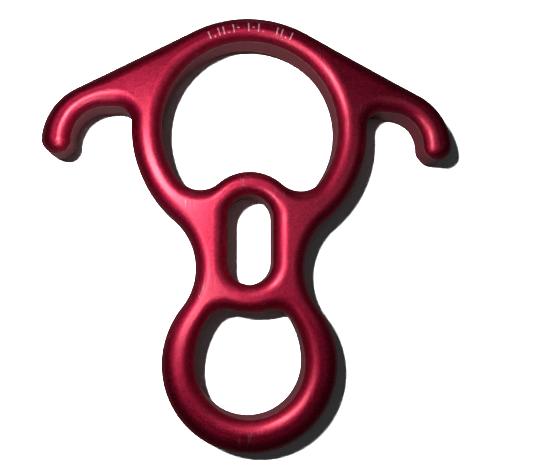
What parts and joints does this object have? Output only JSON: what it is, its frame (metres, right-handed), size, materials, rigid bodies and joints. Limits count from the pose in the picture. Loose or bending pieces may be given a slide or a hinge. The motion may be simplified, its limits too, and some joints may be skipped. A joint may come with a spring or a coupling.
{
  "type": "descender",
  "caption": "Rescue figure-eight descender: a flat rope ring with a saddle and two down-turned ears, joined by a slotted neck to a smaller carabiner eye.",
  "frame": {"origin": "on the back face's plane, under the middle of the part's box", "axes": "+X across the two ears, +Y from the carabiner eye towards the crown of the rope ring, +Z through the thickness, out of the marked face"},
  "size_m": [0.1396, 0.1466, 0.015],
  "materials": {
    "anodised_aluminium": "satin, bead-blasted and dyed dark red"
  },
  "bodies": {
    "root": {"descender_body": "anodised_aluminium"}
  },
  "joints": []
}
